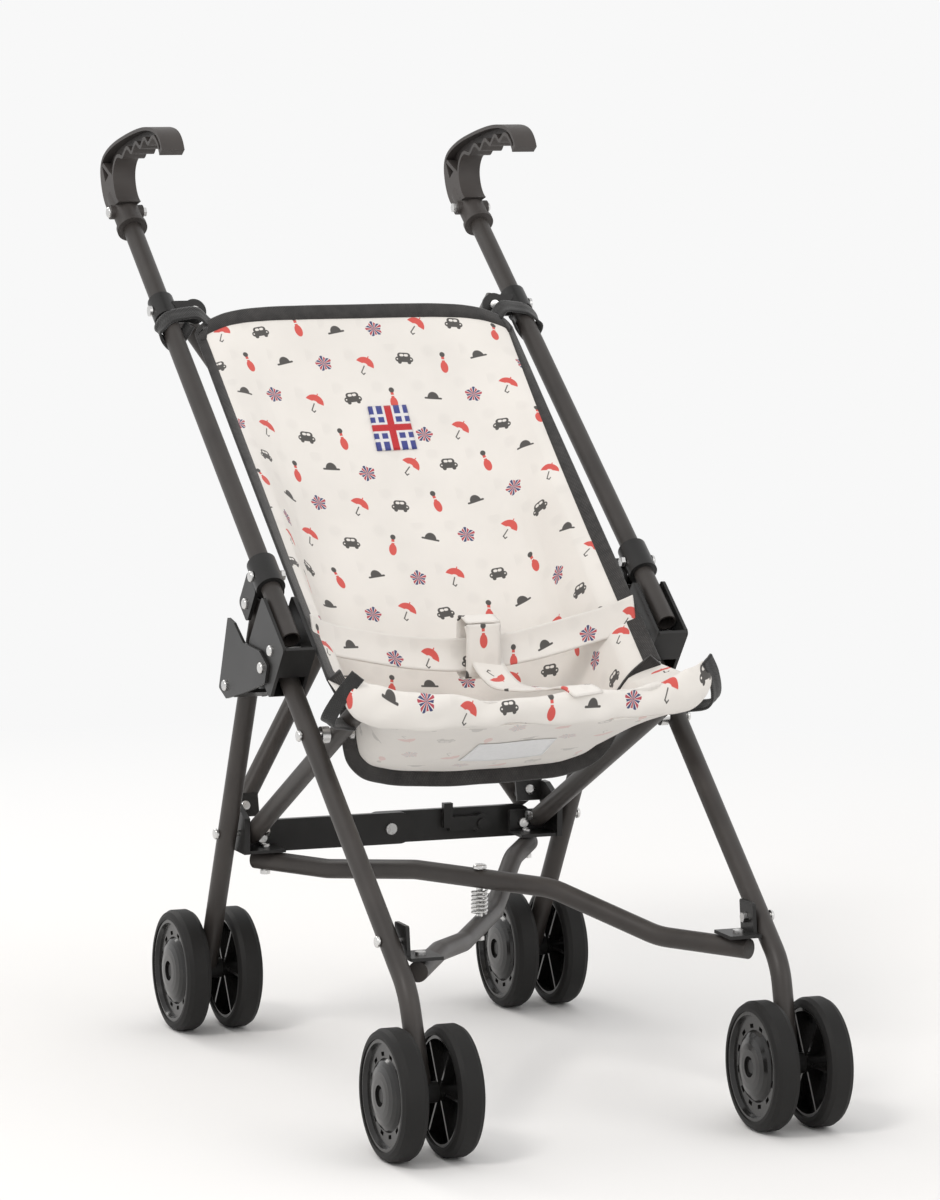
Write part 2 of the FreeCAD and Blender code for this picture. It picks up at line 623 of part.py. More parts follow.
def slab(low, high, thick, x0, x1):
    """A flat panel whose (y, z) section runs from low to high."""
    run = hypot(high[0] - low[0], high[1] - low[1])
    ny, nz = -(high[1] - low[1]) / run * thick, (high[0] - low[0]) / run * thick
    outline = [low, high, (high[0] + ny, high[1] + nz), (low[0] + ny, low[1] + nz)]
    return plate_yz(outline, x0, x1)


def panel(corners, thick):
    """A flat plate on a closed outline, thick along the outline's normal."""
    face = Part.Face(Part.makePolygon(corners + corners[:1]))
    normal = (corners[1] - corners[0]).cross(corners[2] - corners[0]).normalize()
    return face.extrude(normal * thick)


def make_back():
    """The back panel, wider at its head than at the seam."""
    foot, head = V(PANEL_HALF_W, *SEAT_SEAM), V(HEAD_HALF_W, *BACK_HEAD)
    left_foot, left_head = V(-foot.x, foot.y, foot.z), V(-head.x, head.y, head.z)
    return panel([left_foot, foot, head, left_head], PANEL_T)


def make_wings():
    """The triangles between the panels' sides and the poles."""
    foot = V(PANEL_HALF_W + 2.2, SEAT_SEAM[0] - 4, SEAT_SEAM[1] + 9)
    wing = panel([WING_TOP - V(1.5, 4, 0), foot, WING_FRONT], -FABRIC_T)
    return Part.makeCompound([wing, mirrored(wing)])


def make_belts():
    """Waist belt and crotch strap, as plain bands, and the four webbing loops."""
    half = PANEL_HALF_W + 10
    arc = Part.Arc(V(-half, 30, 284), V(0, 30, 256), V(half, 30, 284)).toShape()
    belt = Part.Face(Part.Wire(strip_edges(arc, 11.0))).extrude(V(0, 2, 0))
    strap = slab((-60, 238), (27, 249), 2.0, -10, 10)
    ring_at = upper_along() - 16
    ends = pole_point(ring_at - 4), pole_point(ring_at + 4)
    ring = rod(*ends, TUBE_R + 1.6).cut(rod(*ends, TUBE_R + GAP))
    at = pole_point(ring_at)
    tab = box(PANEL_HALF_W + 3, at.x - TUBE_R - 0.6, at.y - 3, at.y + 3, at.z - 0.8, at.z + 0.8)
    loops = [ring.fuse(tab), box(PANEL_HALF_W + 3, 104, -66, -52, 253, 254.5)]
    loops += [mirrored(loop) for loop in loops]
    return Part.makeCompound([belt, strap] + loops)


def strip_edges(arc, half_w):
    """A closed outline half_w above and below an arc in the XZ plane."""
    first, last = arc.valueAt(arc.FirstParameter), arc.valueAt(arc.LastParameter)
    middle = arc.valueAt((arc.FirstParameter + arc.LastParameter) / 2)
    up = V(0, 0, half_w)
    top = Part.Arc(first + up, middle + up, last + up).toShape()
    low = Part.Arc(first - up, middle - up, last - up).toShape()
    right_end = Part.LineSegment(last + up, last - up).toShape()
    left_end = Part.LineSegment(first - up, first + up).toShape()
    return Part.__sortEdges__([top, right_end, low, left_end])


# --- assembly -------------------------------------------------------------------------------
def drilled(shapes, pairs, names):
    """Bolt holes through the named shapes."""
    for a, b in pairs:
        d = (b - a).normalize()
        hole = rod(a - d * 0.02, b + d * 0.02, HOLE_R)
        for name in names:
            if shapes[name].distToShape(hole)[0] < 1e-6:
                shapes[name] = shapes[name].cut(hole)


def build_side():
    """Every node of one side frame, on the +X side."""
    shapes = {
        "pole": make_pole(),
        "handle": make_handle(),
        "upper_bracket": make_upper_bracket(),
        "collar": make_collar(),
        "hinge_block": make_hinge_block(),
        "link_bracket": make_link_bracket(),
        "front_leg": make_front_leg(),
        "rear_leg": make_rear_leg(),
        "seat_tube": make_seat_tube(),
        "rear_bracket": make_rear_bracket(),
        "front_bracket": make_front_bracket(),
        "seat_spacer": make_seat_spacer(),
    }
    pairs = side_bolts()
    drilled(shapes, pairs, list(shapes))
    clamp_mid = pole_point(upper_along())
    drilled(shapes, [(clamp_mid + ACROSS * 8.3, clamp_mid - ACROSS * 8.6)], ["pole", "upper_bracket"])
    shapes["axle_sleeves"] = make_axle_sleeves()
    shapes["axles"] = make_axles()
    shapes["bolts"] = [bolt(a, b) for a, b in pairs] + open_pivot_studs() + [make_clamp_rivet()]
    return shapes


def main():
    nodes = {}
    side = build_side()
    bolts = side.pop("bolts")
    spacer = side.pop("seat_spacer")
    for name, shape in side.items():
        nodes[name + "_right"] = shape
        nodes[name + "_left"] = mirrored(shape)
    right_extra = [low_rear_bolt(1), back_foot_bolt(1), lock_pivot_pin(1), spacer]
    left_extra = [low_rear_bolt(-1), back_foot_bolt(-1), lock_pivot_pin(-1), mirrored(spacer)]
    nodes["frame_bolts_right"] = Part.makeCompound(bolts + right_extra)
    nodes["frame_bolts_left"] = Part.makeCompound([mirrored(b) for b in bolts] + left_extra)

    for end, hub in (("front", FRONT_HUB), ("rear", REAR_HUB)):
        for place, face_out in (("outer", 1), ("inner", -1)):
            tyre, disc = make_tyre(hub, face_out), make_hub(hub, face_out)
            nodes[f"{end}_right_{place}_tyre"] = tyre
            nodes[f"{end}_right_{place}_hub"] = disc
            nodes[f"{end}_left_{place}_tyre"] = mirrored(tyre)
            nodes[f"{end}_left_{place}_hub"] = mirrored(disc)

    nodes["lower_cross_a"] = low_tube(-1, LOW_A_Z)
    nodes["lower_cross_b"] = low_tube(1, LOW_B_Z)
    nodes["cross_bolt"] = make_low_bolt()
    nodes["cross_spring"] = make_low_spring()
    nodes["back_cross_a"] = back_tube(-1, 0)
    nodes["back_cross_b"] = back_tube(1, BACK_STEP)
    nodes["back_rivet"] = make_back_rivet()
    nodes["back_spacer"] = make_back_spacer()
    nodes["lock_bar_left"] = lock_half(-1)
    nodes["lock_bar_right"] = lock_half(1)
    nodes["lock_latch"] = Part.makeCompound([make_lock_latch(), make_latch_pin()])
    nodes["lock_screw"] = make_lock_screws()
    nodes["seat_base"] = slab(SEAT_FRONT_EDGE, SEAT_REAR_EDGE, PANEL_T, -PANEL_HALF_W, PANEL_HALF_W)
    nodes["seat_back"] = make_back()
    nodes["side_wings"] = make_wings()
    nodes["straps"] = make_belts()

    os.makedirs("parts", exist_ok=True)
    for name, shape in nodes.items():
        shape.exportStep(f"parts/{name}.step")


main()
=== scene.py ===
import json
import math

import bmesh
import bpy
import numpy as np
from mathutils import Matrix, Vector


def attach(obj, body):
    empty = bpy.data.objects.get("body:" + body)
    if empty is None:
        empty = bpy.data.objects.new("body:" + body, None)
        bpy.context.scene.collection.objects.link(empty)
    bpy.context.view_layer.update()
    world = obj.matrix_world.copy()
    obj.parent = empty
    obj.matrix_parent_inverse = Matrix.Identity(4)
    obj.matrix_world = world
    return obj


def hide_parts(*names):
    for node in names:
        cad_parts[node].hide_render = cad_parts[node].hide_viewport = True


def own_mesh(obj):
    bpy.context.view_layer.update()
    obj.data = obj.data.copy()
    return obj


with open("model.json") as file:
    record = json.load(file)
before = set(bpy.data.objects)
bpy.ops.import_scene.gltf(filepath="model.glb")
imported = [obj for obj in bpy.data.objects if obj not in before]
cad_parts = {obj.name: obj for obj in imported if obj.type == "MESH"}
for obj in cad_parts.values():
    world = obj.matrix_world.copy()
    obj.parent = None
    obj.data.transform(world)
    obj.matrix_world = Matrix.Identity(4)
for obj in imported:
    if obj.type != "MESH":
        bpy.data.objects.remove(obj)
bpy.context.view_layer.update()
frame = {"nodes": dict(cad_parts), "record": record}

MM = 0.001

# --- camera, floor and light ----------------------------------------------------------------
CAMERA_AT = Vector((-1.2288, -2.9781, 0.7128))
AZIMUTH, ELEVATION, ROLL = math.radians(-22.23), math.radians(7.47), math.radians(0.60)
LENS, SENSOR = 162.9, 36.0
BACKGROUND = (0.939, 0.939, 0.939)
FLOOR_COLOUR = (0.835, 0.825, 0.815)
FLOOR_SIDE = 12.0
FADE_FROM, FADE_TO = 0.55, 1.4    # the floor turns to background over this distance
# name, place, target, size, power, colour
LAMPS = [("key", (-2.4, -1.5, 3.2), (0, 0, 0.2), 1.1, 42, (1.0, 0.97, 0.94)),
         ("fill", (1.5, -2.4, 1.6), (0, 0, 0.25), 1.6, 9, (1.0, 0.98, 0.96)),
         ("rim", (-0.6, 1.9, 1.6), (0, 0, 0.3), 0.9, 10, (1.0, 0.98, 0.95))]


def add_camera():
    back = Vector((math.sin(AZIMUTH) * math.cos(ELEVATION),
                   -math.cos(AZIMUTH) * math.cos(ELEVATION), math.sin(ELEVATION)))
    right = Vector((math.cos(AZIMUTH), math.sin(AZIMUTH), 0))
    up = back.cross(right)
    tilted = right * math.cos(ROLL) + up * math.sin(ROLL)
    upright = back.cross(tilted)
    data = bpy.data.cameras.new("camera")
    data.lens, data.sensor_width, data.sensor_height = LENS, SENSOR, SENSOR
    data.sensor_fit = "AUTO"
    data.clip_end = 100.0
    camera = bpy.data.objects.new("camera", data)
    turn = Matrix((tilted, upright, back)).transposed().to_4x4()
    camera.matrix_world = Matrix.Translation(CAMERA_AT) @ turn
    bpy.context.scene.collection.objects.link(camera)
    bpy.context.scene.camera = camera


def add_light(name, place, target, size, power, colour):
    data = bpy.data.lights.new(name, "AREA")
    data.shape, data.size, data.energy, data.color = "DISK", size, power, colour
    lamp = bpy.data.objects.new(name, data)
    lamp.location = place
    lamp.rotation_euler = (Vector(target) - Vector(place)).to_track_quat("-Z", "Y").to_euler()
    bpy.context.scene.collection.objects.link(lamp)


def add_studio():
    """A pale floor that fades into the background's white, a white sky and three soft lamps."""
    scene = bpy.context.scene
    scene.view_settings.view_transform = "Standard"
    world = bpy.data.worlds.new("studio")
    scene.world = world
    world.use_nodes = True
    sky = world.node_tree.nodes["Background"]
    sky.inputs["Color"].default_value = (*BACKGROUND, 1)
    sky.inputs["Strength"].default_value = 1.0
    for lamp in LAMPS:
        add_light(*lamp)
    mesh = bpy.data.meshes.new("floor")
    corners = [(x * FLOOR_SIDE, y * FLOOR_SIDE, 0) for x, y in ((-1, -1), (1, -1), (1, 1), (-1, 1))]
    mesh.from_pydata(corners, [], [(0, 1, 2, 3)])
    floor = bpy.data.objects.new("floor", mesh)
    scene.collection.objects.link(floor)
    m = bpy.data.materials.new("floor")
    m.use_nodes = True
    t = Tree(m.node_tree)
    t.clear()
    coord = t.node("ShaderNodeTexCoord")
    far = t.math("LENGTH", coord.outputs["Object"])
    near = t.node("ShaderNodeBsdfDiffuse")
    near.inputs["Color"].default_value = (*FLOOR_COLOUR, 1)
    glow = t.node("ShaderNodeEmission")
    glow.inputs["Color"].default_value = (*BACKGROUND, 1)
    mix = t.node("ShaderNodeMixShader")
    t.link(t.ramp(far, FADE_FROM, FADE_TO), mix.inputs[0])
    t.link(near.outputs[0], mix.inputs[1])
    t.link(glow.outputs[0], mix.inputs[2])
    out = t.node("ShaderNodeOutputMaterial")
    t.link(mix.outputs[0], out.inputs["Surface"])
    mesh.materials.append(m)


# --- material trees -----------------------------------------------------------------------
class Tree:
    """Short names for building a node tree."""

    VECTOR_KINDS = {"LENGTH": "LENGTH", "SCALE": "SCALE", "DOT": "DOT_PRODUCT",
                    "SUB_V": "SUBTRACT", "MUL_V": "MULTIPLY", "ADD_V": "ADD"}

    def __init__(self, tree):
        self.tree = tree

    def clear(self):
        self.tree.nodes.clear()

    def node(self, kind, **settings):
        n = self.tree.nodes.new(kind)
        for key, value in settings.items():
            setattr(n, key, value)
        return n

    def link(self, a, b):
        self.tree.links.new(a, b)

    def put(self, socket, value):
        if isinstance(value, bpy.types.NodeSocket):
            self.link(value, socket)
        elif value is not None:
            socket.default_value = value

    def math(self, operation, a, b=None, c=None):
        """A vector operation when its name is one, else a number operation."""
        kind = self.VECTOR_KINDS.get(operation)
        if kind:
            n = self.node("ShaderNodeVectorMath", operation=kind)
            self.put(n.inputs[0], a)
            self.put(n.inputs["Scale"] if kind == "SCALE" else n.inputs[1], b)
            return n.outputs["Value"] if kind in ("LENGTH", "DOT_PRODUCT") else n.outputs["Vector"]
        n = self.node("ShaderNodeMath", operation=operation)
        self.put(n.inputs[0], a)
        self.put(n.inputs[1], b)
        self.put(n.inputs[2], c)
        return n.outputs[0]

    def ramp(self, value, low, high, out_low=0.0, out_high=1.0):
        n = self.node("ShaderNodeMapRange")
        n.clamp = True
        self.put(n.inputs["Value"], value)
        ends = {"From Min": low, "From Max": high, "To Min": out_low, "To Max": out_high}
        for name, v in ends.items():
            self.put(n.inputs[name], v)
        return n.outputs["Result"]

    def mix(self, factor, a, b):
        n = self.node("ShaderNodeMix", data_type="RGBA")
        self.put(n.inputs["Factor"], factor)
        ins = [s for s in n.inputs if s.type == "RGBA"]
        self.put(ins[0], a)
        self.put(ins[1], b)
        return [s for s in n.outputs if s.type == "RGBA"][0]

    def noise(self, vector, scale, detail=2.0, rough=0.5):
        n = self.node("ShaderNodeTexNoise")
        self.put(n.inputs["Vector"], vector)
        n.inputs["Scale"].default_value = scale
        n.inputs["Detail"].default_value = detail
        n.inputs["Roughness"].default_value = rough
        return n.outputs[0]

    def bump(self, height, strength, distance):
        n = self.node("ShaderNodeBump")
        n.inputs["Strength"].default_value = strength
        n.inputs["Distance"].default_value = distance
        self.put(n.inputs["Height"], height)
        return n.outputs["Normal"]


def new_material(name, colour, roughness, metallic=0.0, **sockets):
    m = bpy.data.materials.new(name)
    m.use_nodes = True
    m.diffuse_color = (*colour, 1)
    t = Tree(m.node_tree)
    shader = m.node_tree.nodes["Principled BSDF"]
    shader.inputs["Base Color"].default_value = (*colour, 1)
    shader.inputs["Roughness"].default_value = roughness
    shader.inputs["Metallic"].default_value = metallic
    for key, value in sockets.items():
        shader.inputs[key.replace("_", " ")].default_value = value
    return m, t, shader


def shades(colour, low, high):
    return (*[c * low for c in colour], 1), (*[c * high for c in colour], 1)


def moulded(name, colour, roughness, grain, depth, spread=0.12, **sockets):
    """Plastic, paint or rubber: small shifts of shade and gloss, and a fine grain."""
    m, t, s = new_material(name, colour, roughness, **sockets)
    where = t.node("ShaderNodeTexCoord").outputs["Object"]
    broad = t.noise(where, 28.0, 4.0)
    fine = t.noise(where, grain, 3.0, 0.6)
    low, high = shades(colour, 0.82, 1.22)
    t.link(t.mix(t.ramp(broad, 0.3, 0.7), low, high), s.inputs["Base Color"])
    smooth, rough = roughness - spread / 2, roughness + spread / 2
    t.link(t.ramp(broad, 0.25, 0.75, smooth, rough), s.inputs["Roughness"])
    t.link(t.bump(fine, 0.35, depth), s.inputs["Normal"])
    return m


def zinc(name):
    m, t, s = new_material(name, (0.66, 0.66, 0.65), 0.3, 1.0)
    where = t.node("ShaderNodeTexCoord").outputs["Object"]
    t.link(t.ramp(t.noise(where, 350.0, 4.0), 0.3, 0.7, 0.2, 0.42), s.inputs["Roughness"])
    dull, bright = (0.52, 0.52, 0.52, 1), (0.78, 0.77, 0.75, 1)
    t.link(t.mix(t.noise(where, 90.0), dull, bright), s.inputs["Base Color"])
    t.link(t.bump(t.noise(where, 900.0, 2.0), 0.2, 0.0001), s.inputs["Normal"])
    return m


def woven_tape(name, colour, pitch):
    """Black tape: a woven rib across the tape and a soft sheen."""
    m, t, s = new_material(name, colour, 0.85, Sheen_Weight=0.25, Sheen_Roughness=0.5)
    uv = t.node("ShaderNodeTexCoord").outputs["UV"]
    split = t.node("ShaderNodeSeparateXYZ")
    t.link(uv, split.inputs[0])
    turn = 2 * math.pi / pitch
    along = t.math("SINE", t.math("MULTIPLY", split.outputs[0], turn))
    across = t.math("SINE", t.math("MULTIPLY", split.outputs[1], turn))
    height = t.math("MULTIPLY", along, across)
    low, high = shades(colour, 0.7, 1.5)
    where = t.node("ShaderNodeTexCoord").outputs["Object"]
    t.link(t.mix(t.ramp(t.noise(where, 160.0, 3.0), 0.3, 0.7), low, high), s.inputs["Base Color"])
    t.link(t.bump(height, 0.5, 0.0003), s.inputs["Normal"])
    return m


# --- the printed cotton -----------------------------------------------------------------------
CELL = 26.0                       # one motif to a cell, in millimetres
JITTER = 5.0                      # how far a motif strays from its cell's middle
INK_GREY, INK_RED = (0.075, 0.07, 0.065), (0.62, 0.09, 0.075)
INK_PINK, INK_NAVY = (0.42, 0.06, 0.085), (0.05, 0.06, 0.15)
COTTON = (0.76, 0.725, 0.68)


class Print(Tree):
    """Small motifs drawn from capsules and ellipses, in millimetres about a cell's middle."""

    def edge(self, distance):
        return self.ramp(distance, -0.14, 0.14, 1.0, 0.0)

    def capsule(self, p, a, b, r):
        ax, ay = a
        dx, dy = b[0] - ax, b[1] - ay
        rel = self.math("SUB_V", p, (ax, ay, 0))
        size = max(dx * dx + dy * dy, 1e-6)
        share = self.math("DOT", rel, (dx / size, dy / size, 0))
        share = self.ramp(share, 0.0, 1.0)
        scaled = self.node("ShaderNodeVectorMath", operation="SCALE")
        scaled.inputs[0].default_value = (dx, dy, 0)
        self.link(share, scaled.inputs["Scale"])
        gap = self.math("LENGTH", self.math("SUB_V", rel, scaled.outputs[0]))
        return self.edge(self.math("SUBTRACT", gap, r))

    def ellipse(self, p, c, rx, ry, above=None):
        rel = self.math("MUL_V", self.math("SUB_V", p, (*c, 0)), (1 / rx, 1 / ry, 0))
        past = self.math("SUBTRACT", self.math("LENGTH", rel), 1.0)
        mask = self.edge(self.math("MULTIPLY", past, min(rx, ry)))
        if above is None:
            return mask
        split = self.node("ShaderNodeSeparateXYZ")
        self.link(p, split.inputs[0])
        return self.math("MULTIPLY", mask, self.ramp(split.outputs[1], above - 0.14, above + 0.14))

    def paint(self, base, shapes):
        """Lays (mask, colour) pairs over a base colour."""
        for mask, colour in shapes:
            base = self.mix(mask, base, (*colour, 1))
        return base

    def skittle(self, p, base):
        return self.paint(base, [
            (self.ellipse(p, (0, -4.2), 2.5, 4.4), INK_RED),
            (self.capsule(p, (0, -1.0), (0, 3.6), 1.0), INK_RED),
            (self.capsule(p, (-1.0, 1.2), (1.0, 1.2), 0.4), COTTON),
            (self.ellipse(p, (0, 5.2), 1.75, 1.9), INK_GREY)])

    def turned(self, p, angle, size):
        n = self.node("ShaderNodeVectorRotate", rotation_type="Z_AXIS")
        n.inputs["Angle"].default_value = angle
        self.link(self.math("SCALE", p, 1 / size), n.inputs["Vector"])
        return n.outputs[0]

    def umbrella(self, p, base):
        p = self.turned(p, 0.6, 1.2)
        return self.paint(base, [
            (self.capsule(p, (0, 0), (0, -5.4), 0.32), INK_GREY),
            (self.capsule(p, (0, -5.4), (1.5, -6.0), 0.32), INK_GREY),
            (self.capsule(p, (1.5, -6.0), (1.9, -4.9), 0.32), INK_GREY),
            (self.ellipse(p, (0, -0.6), 5.2, 5.4, above=0.2), INK_RED),
            (self.ellipse(p, (0, 0.1), 1.5, 0.8), COTTON),
            (self.capsule(p, (0, 4.6), (0, 5.6), 0.3), INK_RED)])

    def hat(self, p, base):
        p = self.turned(p, 0.0, 1.1)
        return self.paint(base, [
            (self.ellipse(p, (0, -1.0), 3.4, 4.2, above=-0.9), INK_GREY),
            (self.capsule(p, (-4.6, -0.9), (4.6, -1.3), 0.62), INK_GREY)])

    def car(self, p, base):
        return self.paint(base, [
            (self.capsule(p, (-2.2, 1.7), (2.2, 1.7), 2.1), INK_GREY),
            (self.capsule(p, (-3.9, -1.2), (3.9, -1.2), 2.0), INK_GREY),
            (self.capsule(p, (-1.9, 1.9), (-1.0, 1.9), 0.9), COTTON),
            (self.capsule(p, (1.0, 1.9), (1.9, 1.9), 0.9), COTTON),
            (self.ellipse(p, (-3.1, -3.4), 1.25, 1.25), INK_GREY),
            (self.ellipse(p, (3.1, -3.4), 1.25, 1.25), INK_GREY),
            (self.ellipse(p, (-4.5, -1.0), 0.5, 0.5), COTTON),
            (self.ellipse(p, (4.5, -1.0), 0.5, 0.5), COTTON)])

    def pinwheel(self, p, base):
        split = self.node("ShaderNodeSeparateXYZ")
        self.link(p, split.inputs[0])
        turn = self.math("ARCTAN2", split.outputs[1], split.outputs[0])
        blades = self.math("SINE", self.math("MULTIPLY", turn, 7.0))
        lobes = self.math("SINE", self.math("MULTIPLY", turn, 5.0))
        reach = self.math("ADD", self.math("MULTIPLY", lobes, 0.7), 5.0)
        disc = self.edge(self.math("SUBTRACT", self.math("LENGTH", p), reach))
        red = self.math("MULTIPLY", disc, self.ramp(blades, 0.3, 0.5))
        navy = self.math("MULTIPLY", disc, self.ramp(blades, -0.5, -0.2, 1.0, 0.0))
        return self.paint(base, [(red, INK_PINK), (navy, INK_NAVY)])

    def colour(self, uv, base):
        """Printed cloth colour at a flat position uv, in metres."""
        p = self.math("SCALE", uv, 1000.0 / CELL)
        split = self.node("ShaderNodeSeparateXYZ")
        self.link(p, split.inputs[0])
        row = self.math("FLOOR", split.outputs[1])
        x = self.math("ADD", split.outputs[0], self.math("MULTIPLY", row, 0.5))
        column = self.math("FLOOR", x)
        join = self.node("ShaderNodeCombineXYZ")
        for place, corner, slot in ((x, column, 0), (split.outputs[1], row, 1)):
            offset = self.math("SUBTRACT", self.math("SUBTRACT", place, corner), 0.5)
            self.link(offset, join.inputs[slot])
        local = self.math("SCALE", join.outputs[0], CELL)
        cell = self.node("ShaderNodeCombineXYZ")
        self.link(column, cell.inputs[0])
        self.link(row, cell.inputs[1])
        chance = self.node("ShaderNodeTexWhiteNoise", noise_dimensions="2D")
        self.link(cell.outputs[0], chance.inputs["Vector"])
        stray = self.math("SUB_V", chance.outputs["Color"], (0.5, 0.5, 0.5))
        jitter = self.math("SCALE", stray, JITTER)
        local = self.math("MUL_V", self.math("SUB_V", local, jitter), (1, 1, 0))
        turned = self.node("ShaderNodeVectorRotate", rotation_type="Z_AXIS")
        self.link(local, turned.inputs["Vector"])
        self.link(self.ramp(chance.outputs["Value"], 0, 1, -0.3, 0.3), turned.inputs["Angle"])
        local = turned.outputs[0]
        order = self.math("ADD", self.math("MULTIPLY", column, 2.0), row)
        kind = self.math("FLOORED_MODULO", order, 5.0)
        # Painted shadow: a faint grey spot beside each motif stands for print on the cloth's other
        # side showing through the thin cotton as shade.
        shadow_spot_at = self.math("ADD_V", local, (9.0, -8.0, 0))
        print_shadow_mask = self.ramp(self.math("LENGTH", shadow_spot_at), 2.5, 5.5, 1.0, 0.0)
        painted_print_shadow = self.math("MULTIPLY", print_shadow_mask, 0.07)
        base = self.mix(painted_print_shadow, base, (0.3, 0.28, 0.27, 1))
        out = base
        for i, motif in enumerate((self.skittle, self.umbrella, self.hat, self.car, self.pinwheel)):
            chosen = self.math("COMPARE", kind, float(i), 0.1)
            out = self.mix(chosen, out, motif(local, base))
        return out


def printed_cotton(name, ink, base=COTTON):
    """Off-white plain weave with the print at a strength from 0 to 1."""
    m, t, s = new_material(name, base, 0.82, Sheen_Weight=0.15, Sheen_Roughness=0.5)
    t = Print(m.node_tree)
    uv = t.node("ShaderNodeTexCoord").outputs["UV"]
    where = t.node("ShaderNodeTexCoord").outputs["Object"]
    low, high = shades(base, 0.96, 1.03)
    cloth = t.mix(t.ramp(t.noise(where, 22.0, 4.0), 0.3, 0.7), low, high)
    printed = t.colour(uv, cloth)
    t.link(t.mix(ink, cloth, printed), s.inputs["Base Color"])
    t.link(t.bump(weave_height(t, uv, 0.00075), 0.25, 0.0002), s.inputs["Normal"])
    return m


def weave_height(t, uv, pitch):
    split = t.node("ShaderNodeSeparateXYZ")
    t.link(uv, split.inputs[0])
    turn = 2 * math.pi / pitch
    along = t.math("SINE", t.math("MULTIPLY", split.outputs[0], turn))
    across = t.math("SINE", t.math("MULTIPLY", split.outputs[1], turn))
    return t.math("MULTIPLY", along, across)


def plaid_patch(name):
    """Woven check: red and white bands on blue."""
    m, t, s = new_material(name, (0.03, 0.04, 0.2), 0.7, Sheen_Weight=0.2)
    uv = t.node("ShaderNodeTexCoord").outputs["UV"]
    split = t.node("ShaderNodeSeparateXYZ")
    t.link(uv, split.inputs[0])
    colour = (0.035, 0.045, 0.22, 1)
    blue = t.mix(t.noise(uv, 900.0, 2.0), colour, (0.05, 0.065, 0.3, 1))
    white_mask = red_mask = None
    for axis in (0, 1):
        off = t.math("ABSOLUTE", split.outputs[axis])
        side = t.math("ABSOLUTE", t.math("SUBTRACT", off, 0.0088))
        middle_band = t.ramp(off, 0.0036, 0.0040, 1.0, 0.0)
        outer_bands = t.ramp(side, 0.0009, 0.0012, 1.0, 0.0)
        white = t.math("MAXIMUM", middle_band, outer_bands)
        red = t.ramp(off, 0.0021, 0.0025, 1.0, 0.0)
        white_mask = white if white_mask is None else t.math("MAXIMUM", white_mask, white)
        red_mask = red if red_mask is None else t.math("MAXIMUM", red_mask, red)
    out = t.mix(white_mask, blue, (0.8, 0.78, 0.78, 1))
    out = t.mix(red_mask, out, (0.55, 0.015, 0.02, 1))
    t.link(out, s.inputs["Base Color"])
    t.link(t.bump(weave_height(t, uv, 0.0006), 0.5, 0.0003), s.inputs["Normal"])
    return m


def spline(points, count):
    """Evenly spread points on a smooth curve through the given ones."""
    p = np.array(points, float)
    steps = np.linalg.norm(np.diff(p, axis=0), axis=1)
    knots = np.concatenate([[0], np.cumsum(steps)])
    slopes = np.gradient(p, knots, axis=0)
    at = np.linspace(0, knots[-1], count)
    i = np.clip(np.searchsorted(knots, at, side="right") - 1, 0, len(p) - 2)
    h = (knots[i + 1] - knots[i])[:, None]
    t = ((at - knots[i])[:, None]) / h
    return ((2 * t**3 - 3 * t**2 + 1) * p[i] + (t**3 - 2 * t**2 + t) * h * slopes[i]
            + (3 * t**2 - 2 * t**3) * p[i + 1] + (t**3 - t**2) * h * slopes[i + 1])


def both_sides(half):
    """A curve given on the +X side, from the middle out, made whole by mirroring."""
    mirrored = [(-x, y, z) for x, y, z in half[:0:-1]]
    return mirrored + list(half)


def grid_normals(g):
    across = np.gradient(g, axis=1)
    along = np.gradient(g, axis=0)
    n = np.cross(across, along)
    return n / np.maximum(np.linalg.norm(n, axis=2, keepdims=True), 1e-9)


def flat_uv(g):
    """Each grid point's flat position: distances along its row and up its middle column."""
    rows, columns = g.shape[:2]
    middle = columns // 2
    steps = np.linalg.norm(np.diff(g, axis=1), axis=2)
    run = np.cumsum(np.concatenate([np.zeros((rows, 1)), steps], 1), 1)
    run -= run[:, middle:middle + 1]
    steps = np.linalg.norm(np.diff(g, axis=0), axis=2)
    climb = np.cumsum(np.concatenate([np.zeros((1, columns)), steps], 0), 0)
    climb = np.repeat(climb[:, middle:middle + 1], columns, 1)
    return np.stack([run, climb], 2) * MM


def cloth(name, grid, thick, front, back, uv_shift=(0, 0)):
    """A sheet of real thickness from a grid in millimetres; its two faces can differ."""
    rows, columns = grid.shape[:2]
    normal = grid_normals(grid)
    uv = flat_uv(grid) + np.array(uv_shift) * MM
    top = grid + normal * (thick / 2)
    low = grid - normal * (thick / 2)
    points = np.concatenate([top.reshape(-1, 3), low.reshape(-1, 3)]) * MM
    index = np.arange(rows * columns).reshape(rows, columns)
    quads = np.stack([index[:-1, :-1], index[:-1, 1:], index[1:, 1:], index[1:, :-1]], 2)
    quads = quads.reshape(-1, 4)
    count = rows * columns
    faces = quads.tolist() + (quads[:, ::-1] + count).tolist()
    rim = np.concatenate([index[0, :], index[1:, -1], index[-1, -2::-1], index[-2:0:-1, 0]])
    following = np.roll(rim, -1)
    faces += np.stack([following, rim, rim + count, following + count], 1).tolist()
    mesh = bpy.data.meshes.new(name)
    mesh.from_pydata(points.tolist(), [], faces)
    flat = np.concatenate([uv.reshape(-1, 2)] * 2)
    layer = mesh.uv_layers.new(name="flat")
    corners = np.empty(len(mesh.loops), np.int32)
    mesh.loops.foreach_get("vertex_index", corners)
    layer.data.foreach_set("uv", flat[corners].ravel())
    mesh.materials.append(front)
    mesh.materials.append(back)
    kinds = np.zeros(len(faces), np.int32)
    kinds[len(quads):] = 1
    mesh.polygons.foreach_set("material_index", kinds)
    mesh.polygons.foreach_set("use_smooth", np.ones(len(faces), bool))
    mesh.update()
    piece = bpy.data.objects.new(name, mesh)
    bpy.context.scene.collection.objects.link(piece)
    return piece


